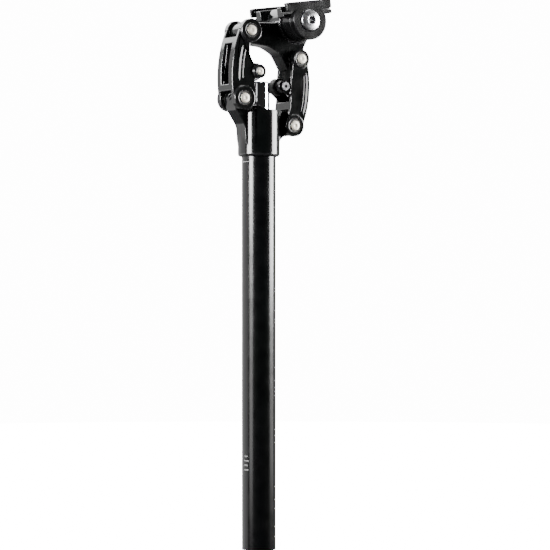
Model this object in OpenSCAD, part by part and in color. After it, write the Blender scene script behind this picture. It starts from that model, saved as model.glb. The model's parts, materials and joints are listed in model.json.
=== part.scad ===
// Parallelogram suspension seatpost.
// +X points to the rear of the bicycle, +Y to the rider's right, +Z up along the tube.
// The origin is the centre of the tube's bottom end. Links are shown at the top of their travel.

/* [Post tube] */
// Outer diameter of the tube, which the frame's seat tube clamps
tube_d = 27.2; // [25:0.1:31.6]
// Wall thickness of the tube
tube_wall = 2.4; // [1.8:0.1:2.6]
// Length of the tube up to the shoulder in the collar
tube_len = 345; // [250:1:420]

/* [Lower bracket] */
// Wall of the collar around the tube
collar_wall = 3.15; // [2.5:0.05:4]
// Length of tube inside the collar
socket_depth = 31; // [24:1:36]
// Height of the collar above the tube's top end
collar_rise = 6; // [5:0.5:8]
// Extra height of the collar's front edge
collar_crest = 5.5; // [3:0.5:6]
// Width of the arm, the ear and the head plate between the links
web_w = 14.4; // [12:0.1:17.3]
// Radius of the front arm's pivot boss
arm_boss_r = 6.5; // [6:0.1:8]
// Radius of the rear ear's pivot boss
ear_boss_r = 8; // [6.5:0.1:8.5]
// Step in radius of the tube where it enters the collar
spigot_step = 0.3; // [0.2:0.05:0.6]

/* [Linkage] */
// Distance of the front lower pivot in front of the tube's axis
pivot_front = 21.4; // [20:0.1:24]
// Height of the front lower pivot above the collar's top
pivot_rise = 8.5; // [8:0.1:13]
// Distance between the two lower pivots, front to rear
pivot_run = 47.3; // [44:0.1:52]
// Drop of the rear lower pivot below the front one
pivot_drop = 20.3; // [18:0.1:24]
// Distance between the two pivots of each link
link_len = 54.2; // [50:0.1:65]
// Lean of the links to the rear at the top of the travel, in degrees
link_lean = 6.9; // [4:0.1:10]
// Thickness of each link plate
plate_t = 3.6; // [3:0.1:5]
// Height of the eyes proud of the link plates
eye_proud = 2.2; // [1:0.1:3]
// Diameter of the pivot axles
axle_d = 8; // [6:0.1:9.6]
// Wall of the pivot bushes
bush_wall = 1.4; // [1:0.1:1.8]
// Thickness of the bush flanges that space the links from the bosses
bush_flange = 0.8; // [0.5:0.1:1]

/* [Front link] */
// Radius of the front link's lower eyes
front_low_eye_r = 9.6; // [8.5:0.1:10.5]
// Radius of the front link's upper eyes
front_top_eye_r = 9.3; // [8.5:0.1:10]
// Bow of the front link ahead of its pivot line
front_bow = 13.4; // [12:0.1:15]
// Radius of the front link's bowed edge
front_bow_r = 98; // [90:1:120]
// Width of the window in the front link's front wall
front_window = 10.4; // [8:0.2:14]
// Roller pin behind the pivot line
roller_out = 11.5; // [10.5:0.1:12.5]
// Roller pin above the lower pivot, along the link
roller_up = 23.2; // [22:0.1:25]
// Diameter of the roller
roller_d = 14.8; // [13:0.1:15.4]
// Width of the roller
roller_w = 9; // [7:0.2:11]
// Diameter of the roller pin
roller_pin_d = 6; // [4:0.1:7]

/* [Rear link] */
// Radius of the rear link's lower eyes
rear_low_eye_r = 8.7; // [8:0.1:9.5]
// Radius of the rear link's upper eyes
rear_top_eye_r = 7.4; // [7:0.1:8.5]
// Bow of the rear link behind its pivot line
rear_bow = 12.2; // [9.5:0.1:13]
// Radius of the rear link's bowed edge
rear_bow_r = 84; // [80:1:150]
// Bumper wheel ahead of the pivot line
bumper_out = 11.4; // [9.5:0.1:11.6]
// Bumper wheel above the lower pivot, along the link
bumper_up = 30.1; // [27:0.1:31]
// Diameter of the bumper wheel
bumper_d = 14; // [11:0.1:14.4]
// Width of the bumper wheel
bumper_w = 10.2; // [7:0.1:11]

/* [Spring unit] */
// Diameter of the chrome plunger
plunger_d = 17; // [14:0.1:18]
// Length of the plunger, foot included
plunger_len = 88; // [70:1:90]
// Clear length of the coil spring
spring_len = 132; // [110:1:136]
// Diameter of the spring's wire
spring_wire = 3.2; // [2.4:0.1:3.4]
// Number of working turns in the spring
spring_turns = 16; // [10:1:18]
// Diameter of the elastomer core inside the spring
core_d = 11; // [8:0.5:12]
// Length of the elastomer core
core_len = 88; // [60:1:92]

/* [Saddle clamp] */
// Clamp bolt's axis behind the tube's axis
clamp_out = 31; // [29:0.1:33]
// Clamp bolt's axis above the rear upper pivot
clamp_up = 29.6; // [27:0.1:31]
// Nose-down tilt of the rail clamp, in degrees
clamp_tilt = 8; // [0:0.5:12]
// Diameter of the saddle rails
rail_d = 7; // [6.5:0.1:8.4]
// Distance between the centres of the two rails
rail_gauge = 44; // [43:0.5:46]
// Height of the rails above the clamp bolt's axis
rail_up = 10.5; // [9.5:0.1:11.5]
// Length of the inner jaws along the rails
jaw_len = 47; // [36:0.5:50]
// Diameter of the round boss of the jaws
jaw_disc_d = 31.2; // [28:0.2:32]
// Width of the head's barrel between the inner jaws
barrel_w = 18; // [16:0.2:20]
// Diameter of the clamp bolt's shank
bolt_d = 8; // [6:0.1:8]
// Diameter of the clamp bolt's head
bolt_head_d = 17; // [14:0.2:18]

/* [Hidden] */
$fn = 64;
// Radial clearance of a part that is bonded or pressed in
fit_gap = 0.02;
// Radial clearance of a part that turns or slides
run_gap = 0.05;
// Radial clearance of the pivot where the linkage is opened
open_gap = 0.09;
// Gap between flat faces that slide past each other
face_gap = 0.1;
// Room around the front link's lower eyes in the collar, for the plates at full travel
link_notch = 3;
// Steps in a rounded corner of an outline
corner_steps = 7;
// Depth to which cuts run past the solid that they cut
past = 1;

tube_r = tube_d / 2;
tube_bore_r = tube_r - tube_wall;
spigot_r = tube_r - spigot_step;
collar_r = tube_r + collar_wall;
collar_low = tube_len - socket_depth;
collar_top = tube_len + collar_rise;
web = web_w / 2;
inner_face = web + bush_flange + face_gap;
panel_face = inner_face + plate_t;
eye_face = panel_face + eye_proud;

front_low = [-pivot_front, collar_top + pivot_rise];
rear_low = front_low + [pivot_run, -pivot_drop];
link_vec = link_len * [sin(link_lean), cos(link_lean)];
front_top = front_low + link_vec;
rear_top = rear_low + link_vec;
axle_r = axle_d / 2;
bush_r = axle_r + bush_wall;
// How far the ends of axles and pins stand proud of the eyes
axle_proud = 0.4;
axle_len = 2 * (eye_face + axle_proud);

roller_at = front_low + along(roller_out, roller_up);
bumper_at = rear_low + along(-bumper_out, bumper_up);

plunger_r = plunger_d / 2;
plunger_top = roller_at.y - roller_d / 2 - face_gap / 2;
plunger_low = plunger_top - plunger_len;
foot_h = 12;
ring_h = 3;
bush_low = plunger_low + foot_h + ring_h + face_gap;
stem_r = 5;
stem_h = 6;
spring_top = plunger_low;
spring_low = spring_top - spring_len;
spring_r = tube_bore_r - 0.7 - spring_wire / 2;
seat_h = 6;
plug_h = 20;
plug_low = 8;
plug_thread_r = tube_bore_r - run_gap;
spacer_wall = 2;

clamp_at = [clamp_out, rear_top.y + clamp_up];
barrel_r = jaw_disc_d / 2 + 1.2;
barrel_half = barrel_w / 2;
rail_y = rail_gauge / 2;
rail_r = rail_d / 2;
jaw_split = 0.8;
disc_r = jaw_disc_d / 2;
jaw_cheek = 6;
outer_face = rail_y + jaw_cheek;
bolt_r = bolt_d / 2;
bolt_head_r = bolt_head_d / 2;
bolt_head_proud = 2.6;
bolt_head_out = outer_face + bolt_head_proud;
washer_t = 1;
// The bolt's seat in the outer jaws, clear of the rail
seat_clear = 0.3;
seat_face = rail_y + rail_r + seat_clear;
bolt_head_in = seat_face + washer_t;
// Ends of the jaws' bars along the rail, from the bolt's axis
bar_front = -20.5;
inner_bar_rear = bar_front + jaw_len;
outer_bar_rear = inner_bar_rear - 4.5;
// How far each bar reaches past the rail's centre line
bar_lip = 2.2;

// Small chamfers and rims
collar_edge = 1.2;
edge = 1;
// The slanted top of the collar, as side-view x
crest_end = -2;
crest_run = 11;
wiper_r = tube_bore_r - 0.6;
wiper_h = collar_rise + 0.6;
wiper_lip = 1;

set_screw_r = 2;
arm_screw_angle = 160;
ear_screw_angle = -35;
front_screw_angle = -60;
rear_screw_angle = 235;

roller_lug_r = 5.6;
roller_bush_r = roller_pin_d / 2 + 1.5;
bumper_lug_r = 5;
// Front edge of the rear link's plates, across the link
rear_plate_front = -4.8;
lug_face = inner_face + 1.8;
bumper_screw_r = 2;
bumper_sleeve_r = 3.2;
bumper_head_r = 3.4;
bumper_head_h = 2;
head_front_r = 7;
head_rear_r = 6.8;
head_screw_bore = 15;

// ---- helpers ----

// A point given across the link (positive to the rear) and along it, as x and z
function along(across, up) = [across * cos(link_lean) + up * sin(link_lean),
                              up * cos(link_lean) - across * sin(link_lean)];

// An arc of radius r in the corner b between a and c
function corner_arc(a, b, c, r) =
    let (u = (a - b) / norm(a - b), w = (c - b) / norm(c - b))
    let (half = acos(u * w) / 2, mid = (u + w) / norm(u + w))
    let (centre = b + mid * r / sin(half))
    let (from = b + u * r / tan(half) - centre, to = b + w * r / tan(half) - centre)
    let (start = atan2(from.y, from.x), turn = (atan2(to.y, to.x) - start + 540) % 360 - 180)
    [for (i = [0:corner_steps])
        centre + r * [cos(start + turn * i / corner_steps), sin(start + turn * i / corner_steps)]];

// An outline from points [x, y, corner radius]
function rounded(p) = [for (i = [0:len(p) - 1])
    let (before = p[(i + len(p) - 1) % len(p)], here = p[i], after = p[(i + 1) % len(p)])
    each here[2] == 0 ? [[here.x, here.y]]
        : corner_arc([before.x, before.y], [here.x, here.y], [after.x, after.y], here[2])];

// Stands a side view (x, z) up and gives it a width from y0 to y1
module side(y0, y1) {
    translate([0, y1, 0])
        rotate([90, 0, 0])
            linear_extrude(y1 - y0)
                children();
}

module both_sides(y0, y1) {
    side(y0, y1) children();
    side(-y1, -y0) children();
}

// A cylinder across the bicycle at a side-view point
module cross_cylinder(at, r, y0, y1) {
    translate([at.x, y1, at.y])
        rotate([90, 0, 0])
            cylinder(r = r, h = y1 - y0);
}

module cross_bore(at, r, half) {
    cross_cylinder(at, r, -half, half);
}

module upright(r, z0, z1) {
    translate([0, 0, z0])
        cylinder(r = r, h = z1 - z0);
}

module disc_at(at, r) {
    translate(at)
        circle(r = r);
}

// The side view of a link, drawn along its pivot line
module link_frame(foot) {
    translate(foot)
        rotate(-link_lean)
            children();
}

module clamp_frame() {
    translate([clamp_at.x, 0, clamp_at.y])
        rotate([0, -clamp_tilt, 0])
            children();
}

// ---- post and lower bracket ----

module post_tube() {
    color("#1c1c1e")
        rotate_extrude()
            polygon([[tube_bore_r, edge], [tube_bore_r + edge, 0], [tube_r, 0],
                     [tube_r, collar_low], [spigot_r, collar_low],
                     [spigot_r, tube_len], [tube_bore_r, tube_len]]);
}

module collar_blank() {
    rotate_extrude()
        polygon([[wiper_r, collar_low], [collar_r - collar_edge, collar_low],
                 [collar_r, collar_low + collar_edge], [collar_r, collar_top + collar_crest],
                 [wiper_r, collar_top + collar_crest]]);
}

// Everything above the slanted top edge of the collar
module above_collar() {
    side(-collar_r - past, collar_r + past)
        polygon([[crest_end, collar_top], [collar_r + past, collar_top],
                 [collar_r + past, collar_top + 2 * collar_crest],
                 [crest_end - crest_run, collar_top + 2 * collar_crest],
                 [crest_end - crest_run, collar_top + collar_crest]]);
}

// Side view of the arm that carries the front link
module arm_outline() {
    disc_at(front_low, arm_boss_r);
    polygon(rounded([[-collar_r + 5, collar_low + 4, 0], [-collar_r + 0.3, collar_low + 12, 8],
                     [-collar_r - 0.6, collar_top - 13, 12],
                     [front_low.x - arm_boss_r + 1.2, front_low.y - 8, 12],
                     [front_low.x - arm_boss_r + 0.04, front_low.y, 0],
                     [front_low.x + arm_boss_r - 0.04, front_low.y, 0],
                     [-wiper_r + 0.5, collar_top + 1, 3], [-wiper_r, collar_low + 4, 0]]));
}

// Side view of the ear that carries the rear link
module ear_outline() {
    disc_at(rear_low, ear_boss_r);
    polygon(rounded([[wiper_r, collar_top, 0], [rear_low.x - 5, collar_top, 3],
                     [rear_low.x + 1, rear_low.y + ear_boss_r - 0.2, 4],
                     [rear_low.x + 1, rear_low.y - ear_boss_r + 0.1, 0],
                     [rear_low.x - 5.5, rear_low.y - ear_boss_r + 0.3, 4],
                     [collar_r - 2, collar_low + 12, 0], [wiper_r, collar_low + 12, 0]]));
}

// Axis of a set screw that reaches the axle at a pivot, from the direction given in degrees
module set_screw_at(at, angle, from, to, r) {
    translate([at.x, 0, at.y])
        rotate([0, 90 - angle, 0])
            translate([0, 0, from])
                cylinder(r = r, h = to - from);
}

module lower_bracket() {
    color("#17171a")
        difference() {
            union() {
                difference() {
                    collar_blank();
                    above_collar();
                    both_sides(web + face_gap, collar_r + past)
                        disc_at(front_low, front_low_eye_r + link_notch);
                }
                side(-web, web)
                    arm_outline();
                side(-web, web)
                    ear_outline();
            }
            upright(spigot_r + fit_gap, collar_low - past, tube_len);
            upright(wiper_r, tube_len - past, collar_top + 2 * collar_crest);
            cross_bore(front_low, axle_r + fit_gap, web + past);
            cross_bore(rear_low, axle_r + fit_gap, web + past);
            set_screw_at(front_low, arm_screw_angle, 0, arm_boss_r + past, set_screw_r + fit_gap);
            set_screw_at(rear_low, ear_screw_angle, 0, ear_boss_r + past, set_screw_r + fit_gap);
        }
}

// A grub screw with a hex socket, tip on the axle
module set_screw(at, angle, boss_r) {
    top = boss_r - 0.3;
    hex_depth = 1.3;
    hex_r = 1.15;
    difference() {
        set_screw_at(at, angle, axle_r + fit_gap, top, set_screw_r);
        translate([at.x, 0, at.y])
            rotate([0, 90 - angle, 0])
                translate([0, 0, top - hex_depth])
                    cylinder(r = hex_r, h = hex_depth + past, $fn = 6);
    }
}

module bracket_set_screws() {
    color("#2b2b2e") {
        set_screw(front_low, arm_screw_angle, arm_boss_r);
        set_screw(rear_low, ear_screw_angle, ear_boss_r);
    }
}

module guide_bush() {
    color("#d8d4c8")
        difference() {
            upright(tube_bore_r - fit_gap, bush_low, tube_len);
            upright(plunger_r + run_gap, bush_low - past, tube_len + past);
        }
}

module wiper_seal() {
    color("#101010")
        rotate_extrude()
            polygon([[plunger_r + run_gap, tube_len], [wiper_r - fit_gap, tube_len],
                     [wiper_r - fit_gap, collar_top - 0.6], [plunger_r + wiper_lip, tube_len + wiper_h],
                     [plunger_r + run_gap, tube_len + wiper_h]]);
}

module axle(at) {
    tip = 0.5;
    half = axle_len / 2;
    translate([at.x, 0, at.y])
        rotate([90, 0, 0])
            rotate_extrude()
                polygon([[0, -half], [axle_r - tip, -half], [axle_r, tip - half],
                         [axle_r, half - tip], [axle_r - tip, half], [0, half]]);
}

module lower_front_axle() {
    color("#d9d2bf")
        axle(front_low);
}

module lower_rear_axle() {
    color("#d9d2bf")
        axle(rear_low);
}

// Two flanged bushes, one in each plate of a link
module bushes(at, gap) {
    sunk = 0.5;
    flange_r = bush_r + 0.6;
    difference() {
        union() {
            cross_cylinder(at, bush_r - fit_gap, inner_face, eye_face - sunk);
            cross_cylinder(at, bush_r - fit_gap, sunk - eye_face, -inner_face);
            cross_cylinder(at, flange_r, web + face_gap, inner_face);
            cross_cylinder(at, flange_r, -inner_face, -web - face_gap);
        }
        cross_bore(at, axle_r + gap, eye_face + past);
    }
}

// ---- spring unit ----

// The coil as a stack of rings at the spring's pitch
module coil_spring() {
    pitch = (spring_len - spring_wire) / spring_turns;
    color("#8d9096")
        for (turn = [0:spring_turns])
            translate([0, 0, spring_low + spring_wire / 2 + turn * pitch])
                rotate_extrude()
                    translate([spring_r, 0])
                        circle(r = spring_wire / 2, $fn = 16);
}

module elastomer_core() {
    color("#b5342c")
        rotate_extrude()
            polygon([[0, spring_low], [core_d / 2 - 1, spring_low], [core_d / 2, spring_low + 1],
                     [core_d / 2, spring_low + core_len - 1], [core_d / 2 - 1, spring_low + core_len],
                     [0, spring_low + core_len]]);
}

module spring_seat() {
    seat_wall = 3.7;
    seat_r = tube_bore_r - 0.3;
    color("#c9c9c4")
        difference() {
            upright(seat_r, spring_low - seat_h, spring_low);
            upright(seat_r - seat_wall, spring_low - seat_h - past, spring_low - seat_h / 2);
        }
}

module spacer_sleeve() {
    spacer_r = tube_bore_r - 1;
    color("#e4e2da")
        difference() {
            upright(spacer_r, plug_low + plug_h, spring_low - seat_h);
            upright(spacer_r - spacer_wall, plug_low + plug_h - past, spring_low);
        }
}

module preload_plug() {
    hex_half = 4;
    hex_depth = 6;
    color("#26262a")
        difference() {
            upright(plug_thread_r, plug_low, plug_low + plug_h);
            translate([0, 0, plug_low - past])
                cylinder(r = hex_half / cos(30), h = hex_depth + past, $fn = 6);
        }
}

module plunger_rod() {
    color("#dcdee2")
        rotate_extrude()
            polygon([[0, plunger_top], [plunger_r - edge, plunger_top], [plunger_r, plunger_top - edge],
                     [plunger_r, plunger_low + foot_h], [stem_r, plunger_low + foot_h],
                     [stem_r, plunger_low + foot_h / 2], [0, plunger_low + foot_h / 2]]);
}

module plunger_foot() {
    color("#d8d4c8")
        rotate_extrude()
            polygon([[0, plunger_low - stem_h], [stem_r - 0.5, plunger_low - stem_h],
                     [stem_r, plunger_low - stem_h + 0.5], [stem_r, plunger_low],
                     [tube_bore_r - run_gap, plunger_low], [tube_bore_r - run_gap, plunger_low + foot_h],
                     [stem_r + fit_gap, plunger_low + foot_h], [stem_r + fit_gap, plunger_low + foot_h / 2],
                     [0, plunger_low + foot_h / 2]]);
}

module top_out_ring() {
    color("#101010")
        difference() {
            upright(tube_bore_r - 0.4, plunger_low + foot_h, plunger_low + foot_h + ring_h);
            upright(plunger_r + fit_gap, plunger_low, tube_len);
        }
}

// ---- front link ----

// The bowed region ahead of the front link's rear edge
module front_bow_region() {
    translate([front_bow_r - front_bow, link_len / 2])
        circle(r = front_bow_r, $fn = 180);
}

module front_plate_outline() {
    disc_at([0, 0], front_low_eye_r);
    disc_at([0, link_len], front_top_eye_r);
    disc_at([roller_out, roller_up], roller_lug_r);
    intersection() {
        front_bow_region();
        polygon(rounded([[-front_bow - past, 0, 0], [front_low_eye_r - 0.6, 0, 0],
                         [front_low_eye_r - 0.8, roller_up - roller_lug_r + 0.4, 2],
                         [roller_out, roller_up - roller_lug_r + 0.1, 0],
                         [roller_out, roller_up + roller_lug_r - 0.05, 0],
                         [2.6, roller_up + roller_lug_r + 0.6, 4], [0.8, link_len - 11, 6],
                         [front_top_eye_r - 4, link_len, 0], [-front_bow - past, link_len, 0]]));
    }
}

// Side view of the wall that joins the two plates along their front edge
module front_wall_outline(low, high) {
    wall_depth = 4;
    intersection() {
        front_bow_region();
        translate([-front_bow - past, low])
            square([wall_depth + past, high - low]);
    }
}

module front_link() {
    wall_low = 4.6;
    wall_high = link_len - 6.6;
    window_low = wall_low + 5.2;
    window_high = wall_high - 5.2;
    color("#17171a")
        difference() {
            union() {
                both_sides(inner_face, panel_face)
                    link_frame(front_low)
                        front_plate_outline();
                both_sides(front_window / 2, inner_face + past)
                    link_frame(front_low)
                        front_wall_outline(wall_low, wall_high);
                side(-inner_face - past, inner_face + past)
                    link_frame(front_low) {
                        front_wall_outline(wall_low, window_low);
                        front_wall_outline(window_high, wall_high);
                    }
                both_sides(panel_face, eye_face)
                    link_frame(front_low) {
                        disc_at([0, 0], front_low_eye_r);
                        disc_at([0, link_len], front_top_eye_r);
                        disc_at([roller_out, roller_up], roller_lug_r);
                    }
            }
            cross_bore(front_low, bush_r, eye_face + past);
            cross_bore(front_top, bush_r, eye_face + past);
            cross_bore(roller_at, roller_pin_d / 2 + fit_gap, eye_face + past);
        }
}

module lower_front_bushes() {
    color("#2a2a2c")
        bushes(front_low, run_gap);
}

module upper_front_bushes() {
    color("#2a2a2c")
        bushes(front_top, run_gap);
}

module roller_pin() {
    color("#d9d2bf")
        cross_cylinder(roller_at, roller_pin_d / 2, -eye_face - axle_proud, eye_face + axle_proud);
}

module roller_washers() {
    washer_r = roller_pin_d / 2 + 2;
    color("#b9bbc0")
        difference() {
            union() {
                cross_cylinder(roller_at, washer_r, roller_w / 2 + face_gap, inner_face);
                cross_cylinder(roller_at, washer_r, -inner_face, -roller_w / 2 - face_gap);
            }
            cross_bore(roller_at, roller_pin_d / 2 + fit_gap, inner_face + past);
        }
}

module roller() {
    color("#3a3b3f")
        difference() {
            cross_cylinder(roller_at, roller_d / 2, -roller_w / 2, roller_w / 2);
            cross_bore(roller_at, roller_bush_r, roller_w);
        }
}

module roller_bush() {
    color("#b98a4a")
        difference() {
            cross_cylinder(roller_at, roller_bush_r - fit_gap, -roller_w / 2, roller_w / 2);
            cross_bore(roller_at, roller_pin_d / 2 + run_gap, roller_w);
        }
}

// ---- rear link ----

module rear_bow_region() {
    translate([rear_bow - rear_bow_r, link_len * 0.45])
        circle(r = rear_bow_r, $fn = 180);
}

module rear_plate_outline() {
    disc_at([0, 0], rear_low_eye_r);
    disc_at([0, link_len], rear_top_eye_r);
    intersection() {
        rear_bow_region();
        polygon(rounded([[rear_bow + past, 0, 0], [1 - rear_low_eye_r, 0, 0],
                         [rear_plate_front, rear_low_eye_r + 2, 4],
                         [rear_plate_front, bumper_up - bumper_lug_r - 2, 3],
                         [-6.2, bumper_up - bumper_lug_r, 2],
                         [-6.2, link_len - 3, 0], [rear_bow + past, link_len, 0]]));
    }
}

module bumper_lug_outline() {
    disc_at([-bumper_out, bumper_up], bumper_lug_r);
    polygon([[-bumper_out, bumper_up - bumper_lug_r + 0.05], [-5, bumper_up - bumper_lug_r - 4],
             [-3, bumper_up - bumper_lug_r - 7], [-3, bumper_up + bumper_lug_r + 7],
             [-6, bumper_up + bumper_lug_r + 3], [-bumper_out, bumper_up + bumper_lug_r - 0.05]]);
}

module rear_link() {
    bridge_low = 16;
    bridge_high = 38;
    bridge_depth = 3.6;
    rib_low = 12.4;
    rib_high = 19.2;
    color("#17171a")
        difference() {
            union() {
                both_sides(inner_face, panel_face)
                    link_frame(rear_low)
                        rear_plate_outline();
                both_sides(inner_face, lug_face)
                    link_frame(rear_low)
                        bumper_lug_outline();
                side(-inner_face - past, inner_face + past)
                    link_frame(rear_low)
                        translate([rear_plate_front, rib_low])
                            square([bridge_depth, rib_high - rib_low]);
                side(-inner_face - past, inner_face + past)
                    link_frame(rear_low)
                        intersection() {
                            rear_bow_region();
                            translate([rear_bow - bridge_depth, bridge_low])
                                square([bridge_depth, bridge_high - bridge_low]);
                        }
                both_sides(panel_face, eye_face)
                    link_frame(rear_low) {
                        disc_at([0, 0], rear_low_eye_r);
                        disc_at([0, link_len], rear_top_eye_r);
                    }
            }
            cross_bore(rear_low, bush_r, eye_face + past);
            cross_bore(rear_top, bush_r, eye_face + past);
            cross_bore(bumper_at, bumper_screw_r + fit_gap, panel_face);
        }
}

module lower_rear_bushes() {
    color("#2a2a2c")
        bushes(rear_low, run_gap);
}

module upper_rear_bushes() {
    color("#2a2a2c")
        bushes(rear_top, open_gap);
}

module bumper_wheel() {
    half = bumper_w / 2;
    color("#141414")
        translate([bumper_at.x, 0, bumper_at.y])
            rotate([90, 0, 0])
                rotate_extrude()
                    polygon([[bumper_sleeve_r + fit_gap, -half], [bumper_d / 2 - edge, -half],
                             [bumper_d / 2, edge - half], [bumper_d / 2, half - edge],
                             [bumper_d / 2 - edge, half], [bumper_sleeve_r + fit_gap, half]]);
}

module bumper_sleeve() {
    color("#b9bbc0")
        difference() {
            cross_cylinder(bumper_at, bumper_sleeve_r, -bumper_w / 2, bumper_w / 2);
            cross_bore(bumper_at, bumper_screw_r + fit_gap, bumper_w);
        }
}

module bumper_collars() {
    collar_disc_r = 5.2;
    color("#1e1e20")
        difference() {
            union() {
                cross_cylinder(bumper_at, collar_disc_r, bumper_w / 2, inner_face);
                cross_cylinder(bumper_at, collar_disc_r, -inner_face, -bumper_w / 2);
            }
            cross_bore(bumper_at, bumper_screw_r + fit_gap, inner_face + past);
        }
}

module bumper_screw() {
    color("#5c5e63")
        difference() {
            union() {
                cross_cylinder(bumper_at, bumper_screw_r, -lug_face, lug_face + bumper_head_h + 0.6);
                cross_cylinder(bumper_at, bumper_head_r, -lug_face - bumper_head_h, -lug_face);
            }
            translate([bumper_at.x, -lug_face, bumper_at.y])
                rotate([90, 0, 0])
                    translate([0, 0, 0.6])
                        cylinder(r = 1.45, h = 2, $fn = 6);
        }
}

module bumper_nut() {
    color("#5c5e63")
        difference() {
            translate([bumper_at.x, lug_face + bumper_head_h, bumper_at.y])
                rotate([90, 0, 0])
                    cylinder(r = bumper_head_r, h = bumper_head_h, $fn = 6);
            cross_bore(bumper_at, bumper_screw_r + fit_gap, panel_face + past + 2);
        }
}

// ---- head ----

// Side view of the arched plate between the two upper pivots
module head_outline() {
    disc_at(front_top, head_front_r);
    disc_at(rear_top, head_rear_r);
    polygon(rounded([[front_top.x - 1, front_top.y + 6.95, 0],
                     [front_top.x, front_top.y - 6.95, 0],
                     [front_top.x + 4.5, front_top.y - 10, 6],
                     [front_top.x + 19.8, front_top.y - 11.3, 18],
                     [rear_top.x - 17.2, rear_top.y + 3.8, 12],
                     [rear_top.x - 9.2, rear_top.y - 9.4, 2],
                     [rear_top.x - 4, rear_top.y - 8.2, 4],
                     [rear_top.x + 1.7, rear_top.y - 6.55, 0],
                     [rear_top.x + 6.75, rear_top.y, 0],
                     [rear_top.x + 6.2, rear_top.y + 9, 5],
                     [clamp_at.x + barrel_r * 0.72, clamp_at.y - barrel_r * 0.69, 0],
                     [clamp_at.x, clamp_at.y, 0],
                     [clamp_at.x - barrel_r + 0.6, clamp_at.y, 0],
                     [clamp_at.x - barrel_r - 4, clamp_at.y - 1.4, 3]]));
}

module barrel_outline() {
    barrel_flat = 11;
    intersection() {
        disc_at(clamp_at, barrel_r);
        translate([clamp_at.x - barrel_r, clamp_at.y - barrel_r])
            square([2 * barrel_r, barrel_r + barrel_flat]);
    }
}

module head_bracket() {
    color("#17171a")
        difference() {
            union() {
                side(-web, web)
                    head_outline();
                side(-barrel_half, barrel_half)
                    barrel_outline();
            }
            cross_bore(front_top, axle_r + fit_gap, web + past);
            cross_bore(rear_top, axle_r + fit_gap, web + past);
            cross_bore(clamp_at, bolt_r + run_gap, barrel_half + past);
            set_screw_at(front_top, front_screw_angle, 0, head_screw_bore, set_screw_r + fit_gap);
            set_screw_at(rear_top, rear_screw_angle, 0, head_screw_bore, set_screw_r + fit_gap);
        }
}

module upper_front_axle() {
    color("#d9d2bf")
        axle(front_top);
}

module upper_rear_axle() {
    color("#d9d2bf")
        axle(rear_top);
}

module head_set_screws() {
    color("#2b2b2e") {
        set_screw(front_top, front_screw_angle, head_front_r);
        set_screw(rear_top, rear_screw_angle, head_rear_r);
    }
}

// ---- saddle clamp ----

// Side view of a jaw's bar along the rail, in the clamp's own frame
module jaw_bar_outline(x0, x1, low, high, corner) {
    polygon(rounded([[x0, low, corner], [x1, low, corner], [x1, high, corner], [x0, high, corner]]));
}

module rail_groove() {
    for (y = [-rail_y, rail_y])
        translate([-jaw_len, y, rail_up])
            rotate([0, 90, 0])
                cylinder(r = rail_r, h = 2 * jaw_len);
}

// The jaw on the inner side of a rail
module inner_jaw(y0, y1) {
    color("#141416")
        clamp_frame()
            difference() {
                union() {
                    side(y0, y1)
                        circle(r = disc_r - 0.6);
                    side(y0 + (y0 < 0 ? 0 : 3), y1 - (y0 < 0 ? 3 : 0))
                        jaw_bar_outline(bar_front, inner_bar_rear, rail_up - 6.2, rail_up + bar_lip, 1);
                }
                translate([-jaw_len, -outer_face, rail_up + bar_lip])
                    cube([2 * jaw_len, 2 * outer_face, jaw_len]);
                rail_groove();
                cross_bore([0, 0], bolt_r + run_gap, outer_face);
            }
}

module left_inner_jaw() {
    inner_jaw(jaw_split - rail_y, -barrel_half - face_gap);
}

module right_inner_jaw() {
    inner_jaw(barrel_half + face_gap, rail_y - jaw_split);
}

// The jaw on the outer side of a rail, with the bolt's seat
module outer_jaw(y0, y1, seat0, seat1) {
    color("#141416")
        clamp_frame()
            difference() {
                union() {
                    side(y0, y1)
                        circle(r = disc_r);
                    side(y0, y1)
                        jaw_bar_outline(bar_front, outer_bar_rear, rail_up - bar_lip, disc_r - 0.05, 1.4);
                }
                rail_groove();
                cross_bore([0, 0], bolt_r + run_gap, outer_face + past);
                cross_cylinder([0, 0], bolt_head_r + 0.3, seat0, seat1);
            }
}

module left_outer_jaw() {
    outer_jaw(-outer_face, -rail_y - jaw_split, -outer_face - past, -seat_face);
}

module right_outer_jaw() {
    outer_jaw(rail_y + jaw_split, outer_face, seat_face, outer_face + past);
}

module clamp_bolt() {
    hex_depth = 3;
    hex_r = 3 / cos(30);
    color("#d2d4d8")
        clamp_frame()
            difference() {
                rotate([90, 0, 0])
                    rotate_extrude()
                        polygon([[0, edge - bolt_head_out], [bolt_r - edge, edge - bolt_head_out],
                                 [bolt_r, 2 * edge - bolt_head_out], [bolt_r, bolt_head_in],
                                 [bolt_head_r, bolt_head_in], [bolt_head_r, bolt_head_out - edge],
                                 [bolt_head_r - edge, bolt_head_out], [0, bolt_head_out]]);
                translate([0, hex_depth - bolt_head_out, 0])
                    rotate([90, 0, 0])
                        cylinder(r = hex_r, h = hex_depth + past, $fn = 6);
            }
}

module clamp_nut() {
    color("#d2d4d8")
        clamp_frame()
            rotate([-90, 0, 0])
                rotate_extrude()
                    polygon([[bolt_r + fit_gap, bolt_head_in], [bolt_head_r, bolt_head_in],
                             [bolt_head_r, bolt_head_out - edge], [bolt_head_r - edge, bolt_head_out],
                             [bolt_r + fit_gap, bolt_head_out]]);
}

module clamp_washers() {
    color("#8d9096")
        clamp_frame()
            difference() {
                union() {
                    cross_cylinder([0, 0], bolt_head_r - 0.1, seat_face, seat_face + washer_t);
                    cross_cylinder([0, 0], bolt_head_r - 0.1, -seat_face - washer_t, -seat_face);
                }
                cross_bore([0, 0], bolt_r + fit_gap, outer_face + past);
            }
}

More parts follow.
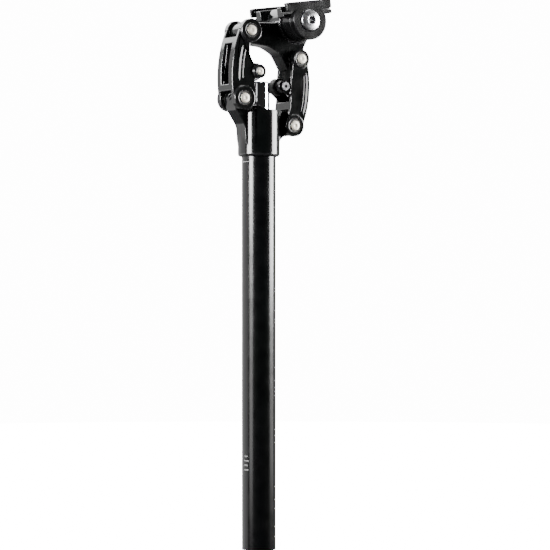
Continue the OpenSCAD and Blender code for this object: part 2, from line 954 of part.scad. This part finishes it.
post_tube();
lower_bracket();
guide_bush();
wiper_seal();
bracket_set_screws();
lower_front_axle();
lower_rear_axle();
coil_spring();
elastomer_core();
spring_seat();
spacer_sleeve();
preload_plug();
plunger_rod();
plunger_foot();
top_out_ring();
front_link();
lower_front_bushes();
upper_front_bushes();
roller_pin();
roller_washers();
roller();
roller_bush();
rear_link();
lower_rear_bushes();
upper_rear_bushes();
bumper_wheel();
bumper_sleeve();
bumper_collars();
bumper_screw();
bumper_nut();
head_bracket();
upper_front_axle();
upper_rear_axle();
head_set_screws();
left_inner_jaw();
right_inner_jaw();
left_outer_jaw();
right_outer_jaw();
clamp_bolt();
clamp_nut();
clamp_washers();
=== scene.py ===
"""Visual model of a parallelogram suspension seatpost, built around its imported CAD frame."""

import json
import math

import bmesh
import bpy
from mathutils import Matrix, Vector

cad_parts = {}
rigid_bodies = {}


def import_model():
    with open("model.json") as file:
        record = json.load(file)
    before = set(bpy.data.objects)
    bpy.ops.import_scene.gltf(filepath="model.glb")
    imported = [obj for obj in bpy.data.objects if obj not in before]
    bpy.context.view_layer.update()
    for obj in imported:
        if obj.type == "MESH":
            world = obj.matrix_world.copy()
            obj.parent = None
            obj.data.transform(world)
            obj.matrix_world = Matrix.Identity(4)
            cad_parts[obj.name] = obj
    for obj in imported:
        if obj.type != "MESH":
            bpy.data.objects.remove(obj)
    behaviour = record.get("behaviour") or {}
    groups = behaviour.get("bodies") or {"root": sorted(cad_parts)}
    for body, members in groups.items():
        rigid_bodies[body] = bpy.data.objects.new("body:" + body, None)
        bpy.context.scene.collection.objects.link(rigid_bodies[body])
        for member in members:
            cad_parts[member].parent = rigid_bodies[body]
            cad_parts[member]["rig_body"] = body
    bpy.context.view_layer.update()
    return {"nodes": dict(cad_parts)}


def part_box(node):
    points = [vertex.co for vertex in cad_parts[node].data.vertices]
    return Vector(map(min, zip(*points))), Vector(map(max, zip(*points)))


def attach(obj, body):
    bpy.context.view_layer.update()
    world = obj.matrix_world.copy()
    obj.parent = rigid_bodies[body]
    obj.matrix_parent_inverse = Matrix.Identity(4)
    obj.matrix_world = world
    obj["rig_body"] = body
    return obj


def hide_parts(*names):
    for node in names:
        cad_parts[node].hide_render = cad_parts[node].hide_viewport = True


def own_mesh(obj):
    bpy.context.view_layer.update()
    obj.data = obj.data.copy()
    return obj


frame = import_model()
MM = 0.001

# The photograph's view: its azimuth and elevation in degrees, its lens and film in mm, and in metres
# the width of the picture and the point at its middle, to the right of the tube and up
VIEW_AZIMUTH = -33.0
VIEW_ELEVATION = 0.0
PICTURE_WIDTH = 0.440
PICTURE_SHIFT = 0.0130
PICTURE_HEIGHT = 0.2194
LENS = 150.0
SENSOR = 36.0

# Working turns of the spring, without the closed one at each end
SPRING_TURNS = 16
# How far a printed plate's back lies inside the face that it is on, in mm
INK_SUNK = 0.02


# ---- placing things ----


def centre(node):
    """Middle of a CAD node's box."""
    low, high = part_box(node)
    return (low + high) / 2


def body_of(node):
    """Name of the body that a CAD node rides on."""
    return frame["nodes"][node]["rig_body"]


def from_camera(angle, distance, height):
    """A point that lies at an angle to the right of the camera's direction, seen from the tube."""
    turn = math.radians(VIEW_AZIMUTH)
    back = Vector((math.sin(turn), -math.cos(turn), 0))
    right = Vector((math.cos(turn), math.sin(turn), 0))
    a = math.radians(angle)
    return (back * math.cos(a) + right * math.sin(a)) * distance + Vector((0, 0, height))


def aim(obj, target):
    """Turns a light to face a point."""
    obj.rotation_mode = "QUATERNION"
    obj.rotation_quaternion = (Vector(target) - obj.location).to_track_quat("-Z", "Y")


# ---- materials ----


class Nodes:
    """Short names for building a material's nodes."""

    def __init__(self, name):
        self.material = bpy.data.materials.new(name)
        self.material.use_nodes = True
        self.tree = self.material.node_tree
        self.shader = self.tree.nodes["Principled BSDF"]
        self.place = self.tree.nodes.new("ShaderNodeTexCoord").outputs

    def add(self, kind, inputs, **settings):
        node = self.tree.nodes.new("ShaderNode" + kind)
        for key, value in settings.items():
            setattr(node, key, value)
        for key, value in inputs.items():
            if isinstance(value, bpy.types.NodeSocket):
                self.tree.links.new(value, node.inputs[key])
            else:
                node.inputs[key].default_value = value
        return node

    def link(self, output, key):
        self.tree.links.new(output, self.shader.inputs[key])

    def noise(self, scale, detail, rough=0.55, stretch=(1, 1, 1)):
        moved = self.add("Mapping", {"Vector": self.place["Object"], "Scale": stretch})
        return self.add("TexNoise", {"Vector": moved.outputs["Vector"], "Scale": scale,
                                     "Detail": detail, "Roughness": rough}).outputs["Fac"]

    def spread(self, value, low, high, from_low=0.3, from_high=0.7):
        return self.add("MapRange", {"Value": value, "From Min": from_low, "From Max": from_high,
                                     "To Min": low, "To Max": high}).outputs["Result"]

    def blend(self, factor, first, second):
        node = self.add("Mix", {"Factor": factor}, data_type="RGBA")
        node.inputs[6].default_value = (*first, 1)
        node.inputs[7].default_value = (*second, 1)
        return node.outputs[2]

    def bump(self, height, strength, distance, under=None):
        inputs = {"Height": height, "Strength": strength, "Distance": distance}
        if under is not None:
            inputs["Normal"] = under
        return self.add("Bump", inputs).outputs["Normal"]

    def constant(self, **values):
        for key, value in values.items():
            self.shader.inputs[key.replace("_", " ")].default_value = value


def coated(name, dark, light, rough, peel, specular=0.5):
    """Paint or anodising on metal: faint mottling, orange peel and a few fine rubs."""
    n = Nodes(name)
    mottle = n.noise(95, 5)
    rub = n.noise(900, 3, stretch=(1, 1, 0.08))
    n.link(n.blend(n.spread(mottle, 0, 1), dark, light), "Base Color")
    worn = n.add("Math", {0: n.spread(mottle, rough[0], rough[1]), 1: n.spread(rub, 0, 0.05, 0.55, 0.8)},
                 operation="ADD").outputs[0]
    n.link(worn, "Roughness")
    skin = n.bump(n.noise(650, 2), peel, 0.00004)
    n.link(n.bump(n.noise(4200, 2), peel * 0.5, 0.000012, skin), "Normal")
    n.constant(Specular_IOR_Level=specular)
    return n.material


def turned(name, dark, light, rough, metallic, rings=60.0, depth=0.00001):
    """Machined metal: fine rings around the piece's own middle, and handling marks."""
    n = Nodes(name)
    moved = n.add("Mapping", {"Vector": n.place["Generated"], "Location": (-0.5, -0.5, -0.5)})
    wave = n.add("TexWave", {"Vector": moved.outputs["Vector"], "Scale": rings, "Distortion": 0.4,
                             "Detail": 2.0}, wave_type="RINGS", rings_direction="Y").outputs["Fac"]
    marks = n.noise(420, 5)
    n.link(n.blend(n.spread(marks, 0, 1), dark, light), "Base Color")
    n.link(n.spread(marks, rough[0], rough[1]), "Roughness")
    n.link(n.bump(wave, 0.25, depth, n.bump(marks, 0.15, 0.00003)), "Normal")
    n.constant(Metallic=metallic)
    return n.material


def drawn(name, dark, light, rough, stretch):
    """Polished or drawn metal with hair lines across the stretched direction."""
    n = Nodes(name)
    lines = n.noise(1500, 3, stretch=stretch)
    cloud = n.noise(60, 4)
    n.link(n.blend(n.spread(cloud, 0, 1), dark, light), "Base Color")
    n.link(n.spread(cloud, rough[0], rough[1]), "Roughness")
    n.link(n.bump(lines, 0.12, 0.000008), "Normal")
    n.constant(Metallic=1.0)
    return n.material


def moulded(name, dark, light, rough, grain=0.3, through=0.0):
    """Moulded rubber or plastic with a matt grain and a little dust in it."""
    n = Nodes(name)
    cloud = n.noise(140, 5)
    pores = n.add("TexVoronoi", {"Vector": n.place["Object"], "Scale": 1800.0}).outputs["Distance"]
    n.link(n.blend(n.spread(cloud, 0, 1), dark, light), "Base Color")
    n.link(n.spread(cloud, rough[0], rough[1]), "Roughness")
    n.link(n.bump(pores, grain, 0.00003, n.bump(cloud, 0.2, 0.00006)), "Normal")
    n.constant(Specular_IOR_Level=0.4, Subsurface_Weight=through)
    n.shader.inputs["Subsurface Radius"].default_value = (0.001, 0.001, 0.001)
    return n.material


def printed(name, dark, light):
    """Screen-printed ink, thin and slightly rubbed."""
    n = Nodes(name)
    rub = n.noise(700, 6, 0.7)
    n.link(n.blend(n.spread(rub, 0, 1, 0.35, 0.6), dark, light), "Base Color")
    n.link(n.spread(rub, 0.35, 0.6), "Roughness")
    n.link(n.bump(rub, 0.2, 0.00002), "Normal")
    return n.material


TUBE = coated("tube_anodised", (0.0014, 0.0014, 0.0016), (0.0030, 0.0030, 0.0033), (0.17, 0.23),
              peel=0.06)
FORGING = coated("forging_paint", (0.0016, 0.0019, 0.0018), (0.0036, 0.0040, 0.0040), (0.10, 0.17),
                 peel=0.10)
# Lighter paint on the forgings' rounded edges: a painted highlight along every edge, and partly rubbed
# paint.
EDGE_RUB_AND_HIGHLIGHT = coated("forging_edge", (0.005, 0.005, 0.0054), (0.014, 0.014, 0.015), (0.16, 0.26), peel=0.08,
                specular=1.0)
JAW = coated("jaw_paint", (0.0018, 0.0019, 0.0019), (0.0046, 0.0047, 0.0049), (0.20, 0.28), peel=0.05)
# Lighter paint on the jaws' rounded edges: a painted highlight along every edge, and partly rubbed paint.
JAW_EDGE = coated("jaw_edge", (0.005, 0.005, 0.0055), (0.014, 0.014, 0.015), (0.18, 0.26), peel=0.05)
PLASTIC_WHITE = moulded("polymer_white", (0.62, 0.61, 0.57), (0.72, 0.71, 0.67), (0.4, 0.52), 0.1,
                        through=0.05)
RUBBER = moulded("rubber", (0.008, 0.008, 0.008), (0.022, 0.022, 0.021), (0.5, 0.7))
ELASTOMER = moulded("elastomer", (0.42, 0.035, 0.025), (0.55, 0.06, 0.04), (0.4, 0.55), 0.15, through=0.1)
BUSH_DARK = moulded("bush_polymer", (0.010, 0.010, 0.010), (0.025, 0.024, 0.022), (0.35, 0.5), 0.1)
SCREW_DARK = turned("screw_dark", (0.03, 0.03, 0.033), (0.06, 0.06, 0.065), (0.3, 0.42), 0.9)
SCREW_GREY = turned("screw_grey", (0.16, 0.16, 0.17), (0.24, 0.24, 0.25), (0.28, 0.4), 1.0)
STEEL = turned("steel_plain", (0.42, 0.42, 0.43), (0.55, 0.55, 0.56), (0.22, 0.36), 1.0)
AXLE = turned("axle_nickel", (0.66, 0.61, 0.50), (0.80, 0.76, 0.67), (0.30, 0.40), 0.45, 30.0)
SPRING = drawn("spring_steel", (0.25, 0.26, 0.28), (0.36, 0.37, 0.39), (0.3, 0.42), (1, 1, 1))
CHROME = drawn("plunger_chrome", (0.66, 0.67, 0.69), (0.74, 0.75, 0.77), (0.03, 0.09), (0.05, 0.05, 1))
BRONZE = turned("bush_bronze", (0.36, 0.22, 0.08), (0.48, 0.30, 0.12), (0.34, 0.48), 1.0)
ROLLER = turned("roller_steel", (0.10, 0.10, 0.11), (0.17, 0.17, 0.18), (0.26, 0.38), 1.0)
COLLAR = moulded("collar_polymer", (0.012, 0.012, 0.013), (0.03, 0.03, 0.032), (0.3, 0.45), 0.15)
BOLT = turned("bolt_chrome", (0.58, 0.59, 0.61), (0.70, 0.71, 0.73), (0.27, 0.35), 1.0, 24.0, 0.000002)
INK = printed("ink_light", (0.42, 0.42, 0.42), (0.62, 0.62, 0.61))
INK_GREY = printed("ink_grey", (0.20, 0.20, 0.20), (0.33, 0.33, 0.33))
INK_DIM = printed("ink_dim", (0.10, 0.10, 0.10), (0.20, 0.20, 0.20))


# ---- pieces ----


def made(name, mesh, body, materials):
    """An object from a mesh, with its materials, riding on a body."""
    obj = bpy.data.objects.new(name, mesh)
    bpy.context.scene.collection.objects.link(obj)
    for material in materials:
        mesh.materials.append(material)
    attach(obj, body)
    return obj


def soften(obj, width, angle, segments, edge_slot=-1):
    """Rounds the sharp edges of a piece and keeps its flat faces flat."""
    bevel = obj.modifiers.new("rounding", "BEVEL")
    bevel.width = width * MM
    bevel.segments = segments
    bevel.limit_method = "ANGLE"
    bevel.angle_limit = math.radians(angle)
    bevel.use_clamp_overlap = False
    bevel.harden_normals = True
    # The edge slot holds a lighter paint: a painted highlight on the rounded edges.
    bevel.material = edge_slot


def clean_copy(node):
    """The CAD node's surface as a fresh mesh with flat faces joined."""
    source = frame["nodes"][node].data
    weld = 0.002 * MM
    flat = math.radians(0.6)
    mesh = bpy.data.meshes.new(node + "_skin")
    mesh.from_pydata([v.co for v in source.vertices], [], [p.vertices for p in source.polygons])
    work = bmesh.new()
    work.from_mesh(mesh)
    bmesh.ops.remove_doubles(work, verts=work.verts, dist=weld)
    bmesh.ops.dissolve_degenerate(work, edges=work.edges, dist=weld)
    bmesh.ops.dissolve_limit(work, angle_limit=flat, verts=work.verts, edges=work.edges)
    for face in work.faces:
        face.smooth = True
    work.to_mesh(mesh)
    work.free()
    return mesh


def refined(node, materials, width, segments=3):
    """A copy of a CAD node with rounded edges, which stands for the node."""
    obj = made(node + "_shaped", clean_copy(node), body_of(node), materials)
    soften(obj, width, 30.0, segments, 1 if len(materials) > 1 else -1)
    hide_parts(node)


def lathe(name, profile, at, axis, materials, body, steps):
    """A turned piece. The profile is a closed list of (radius, distance along the axis), in mm.

    A negative radius makes that ring a hexagon, with that distance from its middle to its flats."""
    points = []
    for i in range(steps):
        a = 2 * math.pi * i / steps
        for r, h in profile:
            if r < 0:
                r = -r / math.cos(a % (math.pi / 3) - math.pi / 6)
            if axis == "Z":
                points.append(Vector((r * math.cos(a), r * math.sin(a), h)) * MM + at)
            else:
                points.append(Vector((r * math.cos(a), h, r * math.sin(a))) * MM + at)
    count = len(profile)
    faces = []
    for i in range(steps):
        j = (i + 1) % steps
        for k in range(count):
            m = (k + 1) % count
            if profile[k][0] == 0 and profile[m][0] == 0:
                continue
            faces.append((i * count + k, i * count + m, j * count + m, j * count + k))
    mesh = bpy.data.meshes.new(name)
    mesh.from_pydata(points, [], faces)
    work = bmesh.new()
    work.from_mesh(mesh)
    bmesh.ops.remove_doubles(work, verts=work.verts, dist=0.001 * MM)
    bmesh.ops.recalc_face_normals(work, faces=work.faces)
    for face in work.faces:
        face.smooth = True
    work.to_mesh(mesh)
    work.free()
    return made(name, mesh, body, materials)


def turned_piece(node, profile, axis, material, rounding, steps=96):
    """A turned piece that stands for a CAD node, with its profile given from the node's middle."""
    obj = lathe(node + "_turned", profile, centre(node), axis, [material], body_of(node), steps)
    soften(obj, rounding, 25.0, 2)
    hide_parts(node)


def half_sizes(node):
    """Half of a CAD node's box, in mm."""
    low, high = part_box(node)
    return (high - low) / 2 / MM


def post_tube():
    """The tube, with a step in radius where it enters the collar."""
    half = half_sizes("post_tube")
    r, h, wall, collar_low = half.x, half.z, 2.4, 314.0
    spigot, shoulder = r - 0.3, collar_low - h
    turned_piece("post_tube", [(r - wall, -h + 1), (r - wall + 1, -h), (r, -h), (r, shoulder),
                               (spigot, shoulder), (spigot, h), (r - wall, h)],
                 "Z", TUBE, 0.2, 160)


def plunger():
    """The chrome plunger, with the stem that its foot is pressed on."""
    half = half_sizes("plunger_rod")
    r, h = half.x, half.z
    stem, stem_top = 5, 6 - h
    turned_piece("plunger_rod", [(0, h), (r - 1, h), (r, h - 1), (r, stem_top), (stem, stem_top),
                                 (stem, -h), (0, -h)],
                 "Z", CHROME, 0.3, 128)


def wiper():
    """The rubber wiper around the plunger, with its lip."""
    half = half_sizes("wiper_seal")
    r, h, bore = half.x, half.z, 8.55
    turned_piece("wiper_seal", [(bore, -h), (r, -h), (r, h - 1.2), (9.9, h - 0.5), (9.4, h), (bore, h)],
                 "Z", RUBBER, 0.15, 128)


def axle_pin(node, hollow):
    """A pin with crowned ends, and a shallow turned hollow in each of them."""
    half = half_sizes(node)
    r, h = half.x, half.y
    crown, sunk = 0.30, 0.36
    lip = [(hollow, 0.0), (hollow + 0.5, 0.28), (r - 0.9, crown), (r - 0.35, 0.16), (r, -0.25)]
    near = [(q, crown - h - p) for q, p in lip]
    far = [(q, h - crown + p) for q, p in reversed(lip)]
    turned_piece(node, [(0, sunk - h), *near, *far, (0, h - sunk)], "Y", AXLE, 0.08)


def bumper_wheel():
    """A rubber tyre with a crowned tread and a moulded ring on each side."""
    half = half_sizes("bumper_wheel")
    r, h = half.x, half.y
    bore, tread, tread_half = 3.22, r - 0.25, 1.2
    side = [(bore, 0.9), (4.0, 0.9), (4.3, 0.0), (5.4, 0.0), (5.7, 0.45), (r - 1.3, 0.35),
            (r - 0.35, 0.75), (r, 1.9)]
    near = [(q, -h + p) for q, p in side]
    far = [(q, h - p) for q, p in reversed(side)]
    turned_piece("bumper_wheel", near + [(tread, -tread_half), (tread, tread_half)] + far, "Y", RUBBER, 0.2)


def dome(r, face, count=7):
    """Points of a crowned face that falls away from its middle, as (radius, drop), in mm."""
    crown, rim = 23.0, 0.4
    out = []
    for i in range(count):
        q = face + (r - rim - face) * i / (count - 1)
        out.append((q, crown - math.sqrt(crown ** 2 - q ** 2)))
    return out


def clamp_bolt():
    """The clamp's bolt, with a crowned head and a hex socket."""
    half = half_sizes("clamp_bolt")
    r, h = half.x, half.y
    head, shank, flat, socket = 3.8 - h, 4.0, 3.0, 3.0 - h
    face = [(q, p - h) for q, p in dome(r, flat + 0.7)]
    turned_piece("clamp_bolt", [
        (0, socket), (-flat, socket), (-flat, 0.5 - h), *face, (r, 2.1 - h), (r, head),
        (shank, head), (shank, h - 1), (shank - 1, h), (0, h)], "Y", BOLT, 0.1)


def clamp_nut():
    """The round nut on the far side, with a crowned face around the bolt's end."""
    half = half_sizes("clamp_nut")
    r, h, bore = half.x, half.y, 4.02
    face = [(q, h - p) for q, p in reversed(dome(r, 4.6))]
    turned_piece("clamp_nut", [(bore, -h), (r, -h), (r, h - 2.1), *face, (bore, h - 0.6)], "Y", BOLT, 0.1)


def coil_part(name, first, last):
    """Part of the spring's helix, between two of its turns."""
    low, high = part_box("coil_spring")
    wire, around, steps = 1.6, 12, 40
    radius = high.x / MM - wire
    foot, top = low.z / MM + wire, high.z / MM - wire
    points, faces = [], []
    for i in range(first * steps, last * steps + 1):
        turn = i / steps
        share = min(max((turn - 1) / SPRING_TURNS, 0.0), 1.0)
        z = foot + (top - foot) * share
        a = 2 * math.pi * turn
        for k in range(around):
            b = 2 * math.pi * k / around
            r = radius + wire * math.cos(b)
            points.append(Vector((r * math.cos(a), r * math.sin(a), z + wire * math.sin(b))) * MM)
        if i > first * steps:
            j = i - first * steps
            for k in range(around):
                m = (k + 1) % around
                faces.append(((j - 1) * around + k, (j - 1) * around + m, j * around + m, j * around + k))
    faces.append(tuple(range(around)))
    faces.append(tuple(len(points) - 1 - k for k in range(around)))
    mesh = bpy.data.meshes.new(name)
    mesh.from_pydata(points, [], faces)
    mesh.shade_smooth()
    obj = made(name, mesh, body_of("coil_spring"), [SPRING])
    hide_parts("coil_spring")
    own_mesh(obj)


def coil_spring():
    """A real helix with closed ends, made in two parts that both ride on the spring's body."""
    turns = SPRING_TURNS + 2
    coil_part("coil_spring_low", 0, turns // 2)
    coil_part("coil_spring_high", turns // 2, turns)


def link_place(low_axle, high_axle):
    """Turns (across, along) in mm on a link into a point in the side view, in metres."""
    foot, top = centre(low_axle), centre(high_axle)
    up = Vector((top.x - foot.x, 0, top.z - foot.z)).normalized()
    across = Vector((up.z, 0, -up.x))
    return lambda a, b: Vector((foot.x, 0, foot.z)) + (across * a + up * b) * MM


def patch(name, outline, y, thickness, material, body):
    """A thin plate in the side view, lying on a face at y (mm), with its outline in metres."""
    out = -1 if y < 0 else 1
    back = (y - out * INK_SUNK) * MM
    mesh = bpy.data.meshes.new(name)
    work = bmesh.new()
    face = work.faces.new([work.verts.new((p.x, back, p.z)) for p in outline])
    grown = bmesh.ops.extrude_face_region(work, geom=[face])
    bmesh.ops.translate(work, verts=[v for v in grown["geom"] if isinstance(v, bmesh.types.BMVert)],
                        vec=(0, out * (thickness + INK_SUNK) * MM, 0))
    bmesh.ops.recalc_face_normals(work, faces=work.faces)
    work.to_mesh(mesh)
    work.free()
    obj = made(name, mesh, body, [material])
    soften(obj, 0.03, 30.0, 1)


def bow(depth, radius, middle):
    """How far a bowed edge stands out from the pivot line at a level along its link, in mm."""
    return lambda b: depth - radius + math.sqrt(radius ** 2 - (b - middle) ** 2)


def band(place, edge, side, inset, wide, b0, b1, steps=20):
    """Outline of a stripe that follows a bowed edge between two levels, narrowed at both ends."""
    out, back = [], []
    for i in range(steps + 1):
        b = b0 + (b1 - b0) * i / steps
        taper = wide / 2 * (1 - abs(2 * i / steps - 1) ** 12)
        mid = edge(b) - inset - wide / 2
        out.append(place(side * (mid + taper), b))
        back.append(place(side * (mid - taper), b))
    return out + list(reversed(back[1:-1]))


def link_stripes():
    """Plain printed pinstripes along the bowed edges, where the real links are decorated."""
    panel, ink = 11.7, 0.05
    front = link_place("lower_front_axle", "upper_front_axle")
    rear = link_place("lower_rear_axle", "upper_rear_axle")
    front_edge = bow(13.4, 98, 27.1)
    rear_edge = bow(12.2, 84, 24.4)
    front_rows = (("wide", 6.0, 1.5, 13.0, 41.0), ("thin", 9.6, 0.7, 15.0, 39.0))
    rear_rows = (("wide", 2.2, 1.7, 10.0, 44.0), ("thin", 5.4, 0.7, 12.0, 42.0))
    for side, y in (("left", -panel), ("right", panel)):
        for name, inset, wide, b0, b1 in front_rows:
            patch(f"front_stripe_{name}_{side}", band(front, front_edge, -1, inset, wide, b0, b1),
                  y, ink, INK, "front_link")
        for name, inset, wide, b0, b1 in rear_rows:
            patch(f"rear_stripe_{name}_{side}", band(rear, rear_edge, 1, inset, wide, b0, b1),
                  y, ink, INK_GREY, "rear_link")


def tube_mark(name, level, tall, start, stop, steps=8):
    """A printed bar around part of the tube, between two angles to the right of the view's direction."""
    low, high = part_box("post_tube")
    radius = high.x + 0.02 * MM
    bottom = low.z + level * MM
    points, faces = [], []
    for i in range(steps + 1):
        angle = start + (stop - start) * i / steps
        points += [from_camera(angle, radius, bottom), from_camera(angle, radius, bottom + tall * MM)]
        if i:
            faces.append((2 * i - 2, 2 * i, 2 * i + 1, 2 * i - 1))
    mesh = bpy.data.meshes.new(name)
    mesh.from_pydata(points, [], faces)
    mesh.shade_smooth()
    obj = made(name, mesh, "post", [INK_DIM])
    thick = obj.modifiers.new("ink", "SOLIDIFY")
    thick.thickness = 0.03 * MM
    thick.offset = 0


def camera():
    """The photograph's view."""
    data = bpy.data.cameras.new("camera")
    data.lens = LENS
    data.sensor_width = SENSOR
    data.clip_start = 0.5
    data.clip_end = 60
    obj = bpy.data.objects.new("camera", data)
    bpy.context.scene.collection.objects.link(obj)
    turn, rise = math.radians(VIEW_AZIMUTH), math.radians(VIEW_ELEVATION)
    right = Vector((math.cos(turn), math.sin(turn), 0))
    back = Vector((math.sin(turn) * math.cos(rise), -math.cos(turn) * math.cos(rise), math.sin(rise)))
    target = right * PICTURE_SHIFT + Vector((0, 0, PICTURE_HEIGHT))
    obj.location = target + back * (PICTURE_WIDTH * LENS / SENSOR)
    obj.rotation_mode = "QUATERNION"
    obj.rotation_quaternion = (-back).to_track_quat("-Z", "Y")
    bpy.context.scene.camera = obj


def softbox(name, angle, distance, height, width, tall, power, target=None):
    """A rectangular light, at an angle to the right of the camera's direction, that faces the tube."""
    data = bpy.data.lights.new(name, "AREA")
    data.shape = "RECTANGLE"
    data.size = width
    data.size_y = tall
    data.energy = power
    obj = bpy.data.objects.new(name, data)
    bpy.context.scene.collection.objects.link(obj)
    obj.location = from_camera(angle, distance, height)
    aim(obj, (0, 0, height if target is None else target))


def surroundings():
    """A bright backdrop for the camera, and for everything else a dim room, brighter behind the object."""
    world = bpy.data.worlds.new("studio")
    bpy.context.scene.world = world
    world.use_nodes = True
    tree = world.node_tree
    tree.nodes.clear()
    direction = tree.nodes.new("ShaderNodeTexCoord").outputs["Generated"]
    behind = tree.nodes.new("ShaderNodeVectorMath")
    behind.operation = "DOT_PRODUCT"
    behind.inputs[1].default_value = from_camera(180, 1, 0)
    tree.links.new(direction, behind.inputs[0])
    ramp = tree.nodes.new("ShaderNodeMapRange")
    ramp.interpolation_type = "SMOOTHSTEP"
    for key, value in {"From Min": 0.2, "From Max": 1.0, "To Min": 0.03, "To Max": 0.6}.items():
        ramp.inputs[key].default_value = value
    tree.links.new(behind.outputs["Value"], ramp.inputs["Value"])
    soft = tree.nodes.new("ShaderNodeBackground")
    tree.links.new(ramp.outputs["Result"], soft.inputs["Strength"])
    seen = tree.nodes.new("ShaderNodeBackground")
    seen.inputs["Strength"].default_value = 18.0
    path = tree.nodes.new("ShaderNodeLightPath")
    mix = tree.nodes.new("ShaderNodeMixShader")
    tree.links.new(path.outputs["Is Camera Ray"], mix.inputs["Fac"])
    tree.links.new(soft.outputs[0], mix.inputs[1])
    tree.links.new(seen.outputs[0], mix.inputs[2])
    tree.links.new(mix.outputs[0], tree.nodes.new("ShaderNodeOutputWorld").inputs["Surface"])


def lights():
    """Bright panels at both sides give the tube its two bands, and dim ones light its lower end."""
    softbox("key_left", -53, 1.1, 0.51, 0.46, 0.42, 40)
    softbox("key_left_low", -53, 1.1, 0.12, 0.46, 0.36, 2.0)
    softbox("rim_right", 98, 1.1, 0.46, 0.66, 0.50, 42)
    softbox("rim_right_low", 98, 1.1, 0.08, 0.66, 0.26, 1.4)
    softbox("fill_left", -108, 1.3, 0.28, 1.5, 1.1, 7.0)
    softbox("high_left", -138, 1.1, 1.15, 0.9, 0.7, 16, 0.40)
    softbox("top", 165, 0.4, 1.5, 1.1, 1.1, 26, 0.35)


def floor_disc():
    """A pale floor that the camera sees and the object doesn't reflect."""
    n = Nodes("floor_paint")
    cloud = n.noise(3, 4)
    n.link(n.blend(n.spread(cloud, 0, 1), (0.90, 0.90, 0.90), (0.93, 0.93, 0.93)), "Base Color")
    n.link(n.spread(cloud, 0.7, 0.8), "Roughness")
    n.constant(Emission_Strength=17.0)
    n.shader.inputs["Emission Color"].default_value = (1, 1, 1, 1)
    mesh = bpy.data.meshes.new("floor")
    work = bmesh.new()
    bmesh.ops.create_circle(work, cap_ends=True, segments=96, radius=1.6)
    work.to_mesh(mesh)
    work.free()
    mesh.materials.append(n.material)
    floor = bpy.data.objects.new("floor", mesh)
    floor.location.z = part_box("post_tube")[0].z - 0.2 * MM
    floor.visible_diffuse = False
    floor.visible_glossy = False
    bpy.context.scene.collection.objects.link(floor)


camera()
surroundings()
lights()
floor_disc()

post_tube()
plunger()
wiper()
coil_spring()
bumper_wheel()
clamp_bolt()
clamp_nut()
for pin in ("lower_front_axle", "lower_rear_axle", "upper_front_axle", "upper_rear_axle"):
    axle_pin(pin, 0.9)
axle_pin("roller_pin", 0.8)
for forging in ("lower_bracket", "front_link", "rear_link", "head_bracket"):
    refined(forging, [FORGING, EDGE_RUB_AND_HIGHLIGHT], 0.8)
for jaw in ("left_inner_jaw", "right_inner_jaw", "left_outer_jaw", "right_outer_jaw"):
    refined(jaw, [JAW, JAW_EDGE], 0.6)
for node, material, width in (
        ("guide_bush", PLASTIC_WHITE, 0.3), ("bracket_set_screws", SCREW_DARK, 0.12),
        ("head_set_screws", SCREW_DARK, 0.12), ("elastomer_core", ELASTOMER, 0.4),
        ("spring_seat", PLASTIC_WHITE, 0.3), ("spacer_sleeve", PLASTIC_WHITE, 0.3),
        ("preload_plug", SCREW_DARK, 0.3), ("plunger_foot", PLASTIC_WHITE, 0.3),
        ("top_out_ring", RUBBER, 0.3), ("lower_front_bushes", BUSH_DARK, 0.15),
        ("upper_front_bushes", BUSH_DARK, 0.15), ("lower_rear_bushes", BUSH_DARK, 0.15),
        ("upper_rear_bushes", BUSH_DARK, 0.15), ("roller_washers", STEEL, 0.12),
        ("roller", ROLLER, 0.4), ("roller_bush", BRONZE, 0.12), ("bumper_sleeve", STEEL, 0.12),
        ("bumper_collars", COLLAR, 0.3), ("bumper_screw", SCREW_GREY, 0.15),
        ("bumper_nut", SCREW_GREY, 0.15), ("clamp_washers", STEEL, 0.15)):
    refined(node, [material], width, segments=2)
link_stripes()
tube_mark("tube_mark_line", 309.2, 0.9, -68, -35)
for i in range(4):
    tube_mark(f"tube_mark_{i}", 63.5 + 3.6 * i, 1.3, -58, -35 - 4 * (i % 2))
